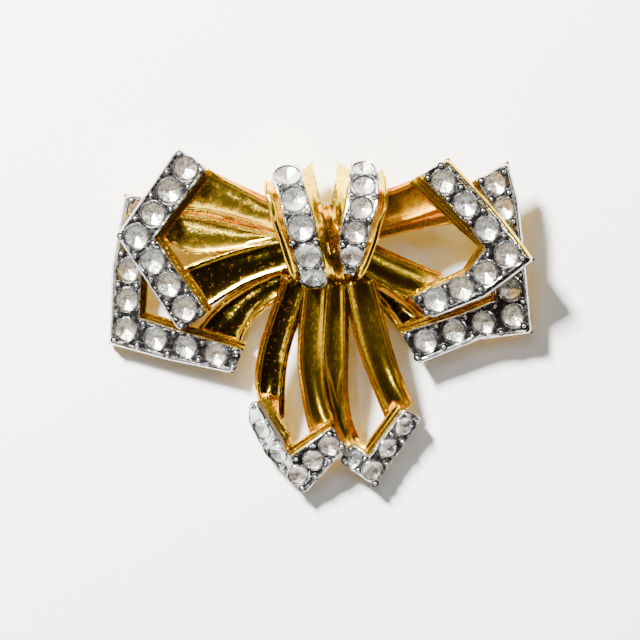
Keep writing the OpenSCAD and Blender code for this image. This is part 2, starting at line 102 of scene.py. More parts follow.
def cuts_of(rows: Rows, skirt: float = 0.0) -> list[Cut]:
    """Cuts in metres from rows of shares.

    Args:
        rows: outer x, y, z and inner x, y, z of each cut.
        skirt: how far the outer point moves in.

    Returns:
        The outer and the inner point of each cut.
    """
    cuts = []
    for r in rows:
        outer, inner = at(*r[:3]), at(*r[3:])
        cuts.append((outer - (outer - inner).normalized() * skirt, inner))
    return cuts


def middle(cut: Cut) -> Vector:
    """Middle of a cut."""
    return (cut[0] + cut[1]) / 2


def normal_at(cuts: Sequence[Cut], i: int) -> Vector:
    """Upward normal of a strip at one of its cuts."""
    last = len(cuts) - 1
    heading = middle(cuts[min(i + 1, last)]) - middle(cuts[max(i - 1, 0)])
    n = heading.cross(cuts[i][0] - cuts[i][1]).normalized()
    return -n if n.z < 0 else n


def spline(points: Sequence[Vector], t: float) -> Vector:
    """Point of a smooth curve through points, at a place counted in points."""
    last = len(points) - 1
    i = min(int(t), last - 1)
    s = t - i
    a, b, c, d = (points[min(max(k, 0), last)] for k in (i - 1, i, i + 1, i + 2))
    return 0.5 * (2 * b + (c - a) * s + (2 * a - 5 * b + 4 * c - d) * s * s + (3 * b - a - 3 * c + d) * s**3)


def facing(place: Vector, n: Vector, size: float = 1.0) -> Matrix:
    """Transform that turns +Z to a direction, scales and moves to a place."""
    return Matrix.Translation(place) @ n.to_track_quat("Z", "Y").to_matrix().to_4x4() @ Matrix.Scale(size, 4)


# ---- Mesh helpers ----------------------------------------------------------------------------------------


def mesh_of(name: str, bm: BMesh) -> Mesh:
    """Mesh of what a BMesh holds, which is freed."""
    mesh = bpy.data.meshes.new(name)
    bm.to_mesh(mesh)
    bm.free()
    return mesh


def add_object(name: str, data: ID) -> Object:
    """Object in the scene with a mesh, a lamp or a camera."""
    made = bpy.data.objects.new(name, data)
    bpy.context.scene.collection.objects.link(made)
    return made


def once(items: Iterable[Any]) -> list[Any]:
    """Items without repeats, in the order in which they first come."""
    return list(dict.fromkeys(items))


def face_up(bm: BMesh, faces: Sequence[BMFace]) -> None:
    """Turn faces over if most of their area looks down."""
    for f in faces:
        f.normal_update()
    if sum(f.normal.z * f.calc_area() for f in faces) < 0:
        bmesh.ops.reverse_faces(bm, faces=faces)


def lay_sheet(bm: BMesh, along: int, across: int, place: Placer) -> list[BMVert]:
    """Lay a grid whose corners stand where a function puts them, with its face up.

    Args:
        bm: mesh that takes the sheet.
        along: cells in the first direction.
        across: cells in the second direction.
        place: gives the place of corner (i, j).

    Returns:
        The sheet's vertices.
    """
    verts = bmesh.ops.create_grid(bm, x_segments=along, y_segments=across, size=0.5)["verts"]
    for v in verts:
        v.co = place(round((v.co.x + 0.5) * along), round((v.co.y + 0.5) * across))
    face_up(bm, once(f for v in verts for f in v.link_faces))
    return verts


def close_down(bm: BMesh, verts: list[BMVert], level: float) -> None:
    """Give a sheet side walls from its border to a lower level, and a floor between them.

    Args:
        bm: mesh that holds the sheet.
        verts: the sheet's vertices.
        level: height of the floor.
    """
    border = once(e for v in verts for e in v.link_edges if e.is_boundary)
    made = bmesh.ops.extrude_edge_only(bm, edges=border)["geom"]
    for v in (g for g in made if isinstance(g, BMVert)):
        v.co.z = level
    rim = [g for g in made if isinstance(g, BMEdge) and g.is_boundary]
    bmesh.ops.edgeloop_fill(bm, edges=rim)
    bmesh.ops.recalc_face_normals(bm, faces=bm.faces)


def lay_tube(bm: BMesh, along: int, across: int, place: Placer) -> None:
    """Lay a sheet whose last column falls on its first one, and close its two ends."""
    verts = lay_sheet(bm, along, across, place)
    bmesh.ops.remove_doubles(bm, verts=verts, dist=WELD)
    bmesh.ops.edgeloop_fill(bm, edges=[e for e in bm.edges if e.is_boundary])
    bmesh.ops.recalc_face_normals(bm, faces=bm.faces)


def stamp(bm: BMesh, master: Mesh, matrix: Matrix) -> None:
    """Add a copy of a small mesh at a place."""
    copy = master.copy()
    copy.transform(matrix)
    bm.from_mesh(copy)
    bpy.data.meshes.remove(copy)


def lathe(name: str, profile: Sequence[Span], steps: int, groove: Span = (0.0, 0.0)) -> Mesh:
    """Turn a profile of radius and height round Z.

    Args:
        name: name of the mesh.
        profile: radius and height of each point, from the middle outwards.
        steps: segments of the full turn.
        groove: radii between which the faces take material slot 2, the painted shade of a groove.

    Returns:
        The turned mesh, with its face up.
    """
    bm = bmesh.new()
    verts = [bm.verts.new((r, 0.0, z)) for r, z in profile]
    edges = [bm.edges.new(pair) for pair in zip(verts, verts[1:])]
    bmesh.ops.spin(
        bm, geom=verts + edges, cent=(0, 0, 0), axis=(0, 0, 1), angle=math.tau, steps=steps, use_merge=True
    )
    bmesh.ops.remove_doubles(bm, verts=bm.verts, dist=WELD)
    face_up(bm, bm.faces[:])
    for f in bm.faces:
        f.material_index = 2 if groove[0] < f.calc_center_median().xy.length < groove[1] else 0
    return mesh_of(name, bm)


def shade(bm: BMesh, angle: float) -> None:
    """Shade a mesh smooth, with edges sharper than an angle in degrees left crisp."""
    limit = math.radians(angle)
    for f in bm.faces:
        f.smooth = True
    for e in bm.edges:
        e.smooth = len(e.link_faces) != 2 or e.calc_face_angle(0.0) < limit


# ---- Finishes --------------------------------------------------------------------------------------------


def linear(hex_code: str) -> tuple[float, float, float, float]:
    """Linear colour, opaque, of an sRGB hex code."""
    parts = [int(hex_code[i : i + 2], 16) / 255 for i in (1, 3, 5)]
    r, g, b = (c / 12.92 if c <= 0.04045 else ((c + 0.055) / 1.055) ** 2.4 for c in parts)
    return (r, g, b, 1.0)


def add_node(tree: NodeTree, kind: str, links: dict | None = None, **settings: Any) -> Node:
    """Add a node with its settings and its inputs.

    Args:
        tree: node tree that takes the node.
        kind: type of the node.
        links: value, or output to link, for each input by its name or number.
        settings: properties of the node.

    Returns:
        The node.
    """
    node = tree.nodes.new(kind)
    for key, value in settings.items():
        setattr(node, key, value)
    for key, value in (links or {}).items():
        if isinstance(value, NodeSocket):
            tree.links.new(value, node.inputs[key])
        else:
            node.inputs[key].default_value = value
    return node


def blank_material(name: str) -> tuple[Material, NodeTree, NodeSocket]:
    """Material with an empty tree, and the Object coordinates in it."""
    material = bpy.data.materials.new(name)
    material.use_nodes = True
    tree = material.node_tree
    tree.nodes.clear()
    return material, tree, add_node(tree, "ShaderNodeTexCoord").outputs["Object"]


def add_noise(tree: NodeTree, place: NodeSocket, size_mm: float, detail: float) -> NodeSocket:
    """Noise whose features have a size in millimetres."""
    links = {"Vector": place, "Scale": 1 / (size_mm * MM), "Detail": detail}
    return add_node(tree, "ShaderNodeTexNoise", links).outputs["Fac"]


def add_range(
    tree: NodeTree, value: NodeSocket, source: Span, target: Span = (0.0, 1.0), **settings: Any
) -> NodeSocket:
    """Value moved from one span to another."""
    ends = {"From Min": source[0], "From Max": source[1], "To Min": target[0], "To Max": target[1]}
    return add_node(tree, "ShaderNodeMapRange", {"Value": value, **ends}, **settings).outputs["Result"]


def add_tone(tree: NodeTree, share: NodeSocket, first: str, second: str) -> NodeSocket:
    """Colour between two sRGB hex codes."""
    links = {"Factor": share, "A": linear(first), "B": linear(second)}
    return add_node(tree, "ShaderNodeMix", links, data_type="RGBA").outputs[2]


def add_surface(tree: NodeTree, links: dict) -> None:
    """Add the surface shader with its inputs, and the output."""
    shader = add_node(tree, "ShaderNodeBsdfPrincipled", links)
    add_node(tree, "ShaderNodeOutputMaterial", {"Surface": shader.outputs["BSDF"]})


# Span of the noise, past a metal's matt_from, over which a dull patch sets in: its roughness and its colour
WEAR_EDGE = (0.0, 0.1)
TONE_EDGE = (-0.06, 0.08)


@dataclass(frozen=True)
class PlatedMetal:
    """Cast white metal under a bright electroplate.

    The plate follows the casting's skin, so it mirrors its surroundings in slow ripples and finer pits.
    """

    name: str
    colour: str
    recess: str
    roughness: float
    ripple_mm: float
    ripple_um: float
    grain_mm: float
    grain_um: float
    patch_mm: float = 0.8
    matt_from: float = 0.6
    matt_roughness: float = 0.3

    def material(self) -> Material:
        """Material of this finish."""
        material, tree, place = blank_material(self.name)
        waves = ((self.ripple_mm, 2.0, self.ripple_um), (self.grain_mm, 3.0, self.grain_um))
        normal: dict = {}
        for size, detail, rise in waves:
            height = add_noise(tree, place, size, detail)
            links = {"Height": height, "Distance": rise * UM, "Strength": 1.0} | normal
            normal = {"Normal": add_node(tree, "ShaderNodeBump", links).outputs["Normal"]}
        patch = add_noise(tree, place, self.patch_mm, 4.0)
        worn, toned = ((self.matt_from + a, self.matt_from + b) for a, b in (WEAR_EDGE, TONE_EDGE))
        wear = add_range(tree, patch, worn, (self.roughness, self.matt_roughness))
        tone = add_tone(tree, add_range(tree, patch, toned), self.colour, self.recess)
        add_surface(tree, {"Metallic": 1.0, "Roughness": wear, "Base Color": tone} | normal)
        return material


@dataclass(frozen=True)
class CutGlass:
    """Clear pressed and polished lead glass, whose facets are quite flat and clean.

    Alpha lets part of the light straight through, so that the lamps reach the foil and the stone is bright.
    """

    name: str
    tint: str
    ior: float = 1.56
    clear: float = 0.965
    alpha: float = 0.3
    film_mm: float = 0.8
    film_from: Span = (0.4, 0.8)
    film_roughness: Span = (0.0, 0.06)

    def material(self) -> Material:
        """Material of this finish."""
        material, tree, place = blank_material(self.name)
        film = add_range(tree, add_noise(tree, place, self.film_mm, 2.0), self.film_from, self.film_roughness)
        links = {"Base Color": linear(self.tint), "Roughness": film, "IOR": self.ior, "Alpha": self.alpha}
        add_surface(tree, links | {"Transmission Weight": self.clear})
        return material


class Tint(Enum):
    """Tints that the stones show."""

    WHITE = "#FFFFFF"
    STRAW = "#FFF3CC"
    PEACH = "#FFE2CC"


# Polished flutes: mirror the dark room and the lamp in long soft streaks, with a few duller amber spots
GOLD = PlatedMetal(
    "gold_electroplate_on_casting", colour="#F4D038", recess="#D08C0E", roughness=0.12, ripple_mm=2.6,
    ripple_um=130.0, grain_mm=0.24, grain_um=7.0, patch_mm=0.5, matt_from=0.58, matt_roughness=0.31,
)
# The two left ribbons that face the lamp: broad pale yellow shine that fades to gold without streaks
SATIN_GOLD = PlatedMetal(
    "gold_electroplate_satin", colour="#FFDA42", recess="#F8B42C", roughness=0.23, ripple_mm=3.0,
    ripple_um=230.0, grain_mm=0.2, grain_um=16.0, patch_mm=0.7, matt_from=0.54, matt_roughness=0.32,
)
# The right loop's porous skin: grainy orange gold with no clear mirror in it
POROUS_GOLD = PlatedMetal(
    "gold_electroplate_on_porous_casting", colour="#FFC41E", recess="#EE9E10", roughness=0.3, ripple_mm=1.3,
    ripple_um=60.0, grain_mm=0.22, grain_um=26.0, patch_mm=0.35, matt_from=0.45, matt_roughness=0.38,
)
# Painted shade in the grooves round beads and collars: dark rings that part the stones from the plate
GROOVE_SHADE = PlatedMetal(
    "rhodium_with_painted_shade_in_grooves", colour="#4C4A47", recess="#2E2C2A", roughness=0.4, ripple_mm=0.6,
    ripple_um=10.0, grain_mm=0.2, grain_um=6.0,
)
# Filed ledges, tail flutes and the right loop's lowest ribbon: short broken glints of gold and amber
FILED_GOLD = PlatedMetal(
    "gold_electroplate_on_filed_step", colour="#F2CC2C", recess="#D29A10", roughness=0.19, ripple_mm=1.2,
    ripple_um=30.0, grain_mm=0.2, grain_um=12.0, patch_mm=0.4, matt_from=0.5, matt_roughness=0.27,
)
# The bands' plate: small hard grey and white glints from the graver's cuts
RHODIUM = PlatedMetal(
    "rhodium_electroplate_bright_cut", colour="#D6D6D6", recess="#BCBCBC", roughness=0.17, ripple_mm=0.6,
    ripple_um=24.0, grain_mm=0.16, grain_um=6.0, patch_mm=0.5, matt_from=0.5, matt_roughness=0.28,
)
# Foil under the stones: throws the lamp back up through the facets in white and cream
FOIL = PlatedMetal(
    "silvered_foil_back", colour="#FEFFFF", recess="#FBFAF0", roughness=0.24, ripple_mm=0.7,
    ripple_um=100.0, grain_mm=0.25, grain_um=12.0, patch_mm=0.5, matt_from=0.5, matt_roughness=0.36,
)
# Pin wire: dull grey lines along the stem
STEEL = PlatedMetal(
    "drawn_steel_wire", colour="#B9B4AA", recess="#9C968C", roughness=0.28, ripple_mm=2.5,
    ripple_um=3.0, grain_mm=0.1, grain_um=3.0,
)


@dataclass
class Finishes:
    """Materials of all pieces, made once."""

    gold: Material = field(default_factory=GOLD.material)
    satin: Material = field(default_factory=SATIN_GOLD.material)
    porous: Material = field(default_factory=POROUS_GOLD.material)
    filed: Material = field(default_factory=FILED_GOLD.material)
    rhodium: Material = field(default_factory=RHODIUM.material)
    groove_shade: Material = field(default_factory=GROOVE_SHADE.material)
    foil: Material = field(default_factory=FOIL.material)
    steel: Material = field(default_factory=STEEL.material)
    glass: dict = field(
        default_factory=lambda: {t: CutGlass(f"cut_glass_{t.name.lower()}", t.value).material() for t in Tint}
    )

    def plate_metals(self) -> list[Material]:
        """Metals of a stone-set plate in slot order: the plate, its gilt side, and the grooves' painted
        shade.
        """
        return [self.rhodium, self.gold, self.groove_shade]


def make_piece(
    name: str,
    bm: BMesh,
    materials: Sequence[Material],
    nodes: Sequence[str] = ("bow_casting",),
) -> Object:
    """Turn a mesh into a piece of the brooch, of the casting unless said otherwise.

    Args:
        name: name of the piece.
        bm: its mesh, which is freed.
        materials: its materials in slot order.
        nodes: CAD nodes that it stands for.

    Returns:
        The piece.
    """
    mesh = mesh_of(name, bm)
    for material in materials:
        mesh.materials.append(material)
    piece = add_object(name, mesh)
    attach(piece, "root")
    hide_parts(*nodes)
    log.info("%s: %d faces", name, len(mesh.polygons))
    return piece


def thicken(piece: Object, wall: float, levels: int) -> None:
    """Give a sheet its wall towards the back, and round it."""
    solid = piece.modifiers.new("wall", "SOLIDIFY")
    solid.thickness = wall
    solid.offset = -1.0
    if levels:
        soft = piece.modifiers.new("rounding", "SUBSURF")
        soft.levels = soft.render_levels = levels


# ---- Ribbons ---------------------------------------------------------------------------------------------

# Columns: place across the ribbon as a share of its width, lift as a share of the flute's depth
RIBBON_PROFILE = (
    (0.0, -0.12), (0.012, 0.0), (0.05, 0.06), (0.085, 0.0), (0.105, -0.3), (0.17, -0.55), (0.3, -0.85),
    (0.5, -1.0), (0.7, -0.85), (0.83, -0.55), (0.895, -0.3), (0.915, 0.0), (0.95, 0.06), (0.988, 0.0),
    (1.0, -0.12),
)
# Rim round a leaf's outer end: its lift, the narrowing of its first rows, and the rows that the flute sets in
LEAF_LIFT, LEAF_NARROW, LEAF_RUN = 0.1, (0.3, 0.12, 0.03), 3


class Skin(Enum):
    """Skins that the gold-plated ribbons have, by their material slot."""

    POLISHED = 0
    SATIN = 1
    POROUS = 2
    FILED = 3


@dataclass
class Ribbons:
    """Fluted cast ribbons of one loop or of the tails."""

    name: str
    ribbons: Sequence[Rows]
    skins: Sequence[Skin]
    leaf: int = -1
    steps: int = 5

    def lay(self, bm: BMesh, rows: Rows, leaf: bool) -> list[BMVert]:
        """Lay one ribbon's face.

        Args:
            bm: mesh that takes it.
            rows: its cuts.
            leaf: whether a rim closes its outer end, as on a leaf.

        Returns:
            The face's vertices.
        """
        cuts = cuts_of(rows)
        outer, inner = [c[0] for c in cuts], [c[1] for c in cuts]
        count = (len(cuts) - 1) * self.steps
        fine = [(spline(outer, i / self.steps), spline(inner, i / self.steps)) for i in range(count + 1)]
        lifts = [normal_at(fine, i) for i in range(count + 1)]

        def place(i: int, j: int) -> Vector:
            """Place of a corner of the ribbon's face."""
            share, lift = RIBBON_PROFILE[j]
            if leaf:
                lift = mix(LEAF_LIFT, lift, smooth((i - 1) / LEAF_RUN))
                share = mix(share, 0.5, LEAF_NARROW[i] if i < len(LEAF_NARROW) else 0.0)
            return mix(fine[i][0], fine[i][1], share) + lifts[i] * FLUTE * lift

        return lay_sheet(bm, count, len(RIBBON_PROFILE) - 1, place)

    def build(self, finishes: Finishes) -> None:
        """Build the ribbons as one piece."""
        bm = bmesh.new()
        for k, rows in enumerate(self.ribbons):
            for f in {f for v in self.lay(bm, rows, k == self.leaf) for f in v.link_faces}:
                f.material_index = self.skins[k].value
        shade(bm, RIBBON_CREASE)
        golds = [finishes.gold, finishes.satin, finishes.porous, finishes.filed]
        thicken(make_piece(self.name, bm, golds), RIBBON_T, 2)


LEFT_FRONT_RIBBONS = (
    (
        (-0.54, 0.885, 0.56, -0.69, 0.627, 0.5),
        (-0.4, 0.78, 0.595, -0.52, 0.62, 0.52),
        (-0.21, 0.66, 0.615, -0.2, 0.51, 0.56),
    ),
    (
        (-0.71, 0.615, 0.475, -0.745, 0.48, 0.43),
        (-0.6, 0.61, 0.5, -0.62, 0.385, 0.405),
        (-0.4, 0.555, 0.53, -0.42, 0.405, 0.45),
        (-0.2, 0.5, 0.555, -0.19, 0.455, 0.52),
    ),
    (
        (-0.67, 0.295, 0.42, -0.55, 0.06, 0.355),
        (-0.43, 0.4, 0.46, -0.335, 0.225, 0.395),
        (-0.15, 0.49, 0.525, -0.12, 0.31, 0.465),
    ),
)
LEFT_BACK_RIBBONS = (
    (
        (-0.8, 0.66, 0.28, -0.81, 0.43, 0.235),
        (-0.57, 0.73, 0.315, -0.57, 0.465, 0.29),
        (-0.18, 0.67, 0.37, -0.18, 0.51, 0.37),
    ),
    (
        (-0.605, -0.072, 0.145, -0.378, -0.157, 0.16),
        (-0.5, 0.08, 0.225, -0.363, -0.06, 0.195),
        (-0.335, 0.215, 0.325, -0.27, 0.083, 0.3),
        (-0.13, 0.33, 0.405, -0.115, 0.18, 0.39),
    ),
)
RIGHT_FRONT_RIBBONS = (
    (
        (0.457, 0.825, 0.555, 0.58, 0.65, 0.515),
        (0.36, 0.77, 0.58, 0.42, 0.58, 0.53),
        (0.24, 0.715, 0.6, 0.235, 0.52, 0.55),
    ),
    (
        (0.6, 0.632, 0.505, 0.635, 0.57, 0.415),
        (0.42, 0.575, 0.52, 0.445, 0.525, 0.41),
        (0.25, 0.522, 0.545, 0.26, 0.475, 0.45),
    ),
    (
        (0.57, 0.255, 0.43, 0.415, 0.135, 0.385),
        (0.4, 0.34, 0.465, 0.317, 0.18, 0.395),
        (0.225, 0.435, 0.51, 0.168, 0.285, 0.45),
    ),
)
RIGHT_BACK_RIBBONS = (
    (
        (0.74, 0.78, 0.37, 0.795, 0.604, 0.32),
        (0.5, 0.787, 0.39, 0.5, 0.615, 0.365),
        (0.25, 0.718, 0.42, 0.25, 0.535, 0.4),
    ),
    (
        (0.513, -0.01, 0.2, 0.373, -0.062, 0.19),
        (0.382, 0.123, 0.275, 0.298, 0.066, 0.25),
        (0.187, 0.283, 0.42, 0.205, 0.19, 0.4),
    ),
)
TAIL_RIBBONS = (
    (
        (-0.165, 0.265, 0.45, -0.05, 0.26, 0.45),
        (-0.27, -0.106, 0.4, -0.149, -0.106, 0.4),
        (-0.303, -0.312, 0.355, -0.182, -0.323, 0.355),
        (-0.3, -0.45, 0.225, -0.2, -0.575, 0.26),
    ),
    (
        (-0.08, 0.215, 0.455, 0.035, 0.22, 0.475),
        (-0.107, -0.175, 0.42, 0.015, -0.185, 0.455),
        (-0.084, -0.42, 0.36, 0.019, -0.403, 0.39),
        (-0.045, -0.665, 0.25, 0.065, -0.58, 0.29),
    ),
    (
        (0.01, 0.25, 0.46, 0.11, 0.24, 0.45),
        (0.0, -0.175, 0.44, 0.112, -0.175, 0.42),
        (0.033, -0.403, 0.385, 0.103, -0.415, 0.36),
        (0.075, -0.587, 0.265, 0.121, -0.61, 0.25),
        (0.12, -0.72, 0.145, 0.16, -0.7, 0.145),
    ),
    (
        (0.1, 0.245, 0.45, 0.235, 0.255, 0.445),
        (0.168, -0.117, 0.415, 0.308, -0.106, 0.41),
        (0.242, -0.358, 0.345, 0.359, -0.312, 0.345),
        (0.325, -0.595, 0.22, 0.425, -0.485, 0.2),
    ),
)


# ---- Stones, seats and beads -----------------------------------------------------------------------------

# Rings of facets: count, turn as a share of a step, slope in degrees, reach from the axis, and 1 for the
# crown or -1 for the pavilion
FACET_RINGS = (
    (8, 0.0, 36.0, 0.49, 1), (16, 0.5, 42.0, 0.484, 1), (8, 0.5, 24.0, 0.655, 1), (8, 0.5, 27.0, 0.488, -1),
    (16, 0.5, 35.0, 0.484, -1),
)
# Distances in diameters: within which a point counts as on a plane, and within which points are welded
CUT_NEAR, CUT_WELD = 1e-5, 1e-4
# Faces whose normal points lower than this carry the foil
FOIL_BELOW = -0.1
# Order in which the tints come round, and the turn in radians from one stone to the next
TINT_ROUND = (Tint.WHITE, Tint.STRAW, Tint.WHITE, Tint.PEACH, Tint.STRAW)
STONE_TURN = 0.37


@dataclass(frozen=True)
class Seat:
    """Place of a stone: its girdle's middle, its axis and its diameter."""

    place: Vector
    axis: Vector
    diameter: float


@dataclass
class BrilliantCut:
    """Round brilliant of diameter 1 with its girdle's upper edge at Z = 0, ground facet by facet."""

    table: float = 0.165
    girdle: float = 0.03
    culet: float = 0.27

    def grind(self, bm: BMesh, count: int, turn: float, slope: float, reach: float, side: int) -> None:
        """Cut a ring of facets.

        Args:
            bm: the stone.
            count: facets in the ring.
            turn: share of a step that the first one is turned by.
            slope: angle from the table's plane in degrees.
            reach: distance from the axis at which the planes meet the girdle's edge.
            side: 1 for the crown and -1 for the pavilion.
        """
        tilt = math.radians(slope)
        level = 0.0 if side > 0 else -self.girdle
        for k in range(count):
            a = (k + turn) * math.tau / count
            out = Vector((math.cos(a), math.sin(a), 0.0))
            n = out * math.sin(tilt) + Vector((0, 0, side * math.cos(tilt)))
            self.cut(bm, out * reach + Vector((0, 0, level)), n)

    @staticmethod
    def cut(bm: BMesh, place: Vector, n: Vector) -> None:
        """Take away what lies beyond a plane, and close the cut."""
        geom = bm.verts[:] + bm.edges[:] + bm.faces[:]
        found = bmesh.ops.bisect_plane(
            bm, geom=geom, dist=CUT_NEAR, plane_co=place, plane_no=n, clear_outer=True
        )
        rim = [g for g in found["geom_cut"] if isinstance(g, BMEdge)]
        if len(rim) > 2:
            bmesh.ops.contextual_create(bm, geom=rim)

    def master(self) -> Mesh:
        """Mesh of the stone: slot 0 is glass and slot 1 the foiled pavilion."""
        bm = bmesh.new()
        bmesh.ops.create_cone(
            bm, cap_ends=True, cap_tris=False, segments=16, radius1=0.5, radius2=0.5, depth=1.0,
            matrix=Matrix.Rotation(math.pi / 16, 4, "Z"),
        )
        self.cut(bm, Vector((0, 0, self.table)), Vector((0, 0, 1)))
        self.cut(bm, Vector((0, 0, -self.culet)), Vector((0, 0, -1)))
        for ring in FACET_RINGS:
            self.grind(bm, *ring)
        bmesh.ops.remove_doubles(bm, verts=bm.verts, dist=CUT_WELD)
        bmesh.ops.recalc_face_normals(bm, faces=bm.faces)
        for f in bm.faces:
            f.normal_update()
            f.material_index = 1 if f.normal.z < FOIL_BELOW else 0
        return mesh_of("brilliant_cut", bm)


def bead_master() -> Mesh:
    """Prong bead with the ring that the beading tool leaves round it."""
    profile = (
        (0.0, 0.44), (0.09, 0.43), (0.18, 0.385), (0.25, 0.29), (0.28, 0.14), (0.285, -0.06), (0.32, -0.12),
        (0.36, -0.1), (0.4, 0.12), (0.44, 0.2), (0.5, 0.19), (0.54, 0.06), (0.55, -0.3),
    )
    # Faces of the ring's groove take slot 2: painted shade
    return lathe("prong_bead", [(r * MM, z * MM) for r, z in profile], 16, (0.27 * MM, 0.4 * MM))


def collar_master(diameter: float) -> Mesh:
    """Bright-cut collar round a stone of a diameter."""
    r = diameter / 2 / MM
    profile = (
        (r - 0.02, -0.45), (r + 0.01, -0.2), (r + 0.08, -0.12), (r + 0.11, 0.06), (r + 0.16, 0.1),
        (r + 0.21, 0.04), (r + 0.23, -0.2),
    )
    # Faces of the collar's first lip, next to the stone, take slot 2: painted shade
    return lathe("bright_cut_collar", [(x * MM, z * MM) for x, z in profile], 32, (0.0, (r + 0.1) * MM))


# ---- Bands -----------------------------------------------------------------------------------------------

# Columns of a band's gold back: the back (0) or its ledge (1), share of that part's width, lift in mm
LEDGE_COLUMNS = (
    (0, 0.0, -0.04), (0, 0.03, 0.0), (0, 0.5, 0.0), (0, 1.0, 0.0), (1, 0.1, 0.3), (1, 0.3, 0.3),
    (1, 0.4, -0.02), (1, 0.62, -0.02), (1, 0.72, 0.22), (1, 0.92, 0.22), (1, 1.0, 0.1),
)
# Tool marks on a plate: height and fineness of each noise
TOOL_MARKS = ((0.04 * MM, 900), (0.02 * MM, 2600))
# Raised line along a plate's border: width, height, and width of its slopes
BORDER_W, BORDER_H, BORDER_SLOPE = 0.3 * MM, 0.09 * MM, 0.08 * MM
# Dish round a stone's well: width, width of its slope, depth
DISH_W, DISH_SLOPE, DISH_H = 0.35 * MM, 0.3 * MM, 0.1 * MM
# Well under a stone: depth of its first step, fall of its wall, greatest depth
WELL_STEP, WELL_FALL, WELL_H = 0.12 * MM, 1.6, 0.95 * MM
# Angles in degrees of the columns round a plate's skirt
SKIRT_ANGLES = (12, 28, 42, 56, 72, 90)


def plate_columns(cells: int, inset: float, wall: Sequence[Span]) -> list[tuple[float, float, float]]:
    """Columns round a plate's section, from the foot of its inner wall.

    Args:
        cells: cells across the face.
        inset: share of the width by which the face's two border columns stand in.
        wall: depth and share of the skirt of each column of the outer wall.

    Returns:
        The place across from the inner edge, the depth under the face and the share of the skirt of each.
    """
    foot = [(0.0, depth, 0.0) for depth in (BAND_T, BAND_T * 0.5, EDGE_ROUND)]
    face = [(min(max(k / cells, inset), 1 - inset), 0.0, 0.0) for k in range(cells + 1)]
    return foot + face + [(1.0, depth, skirt) for depth, skirt in wall] + foot[:1]


class Arm(Enum):
    """The two arms of a band, from its elbow to its first and to its last cut."""

    FIRST = 0
    LAST = 1


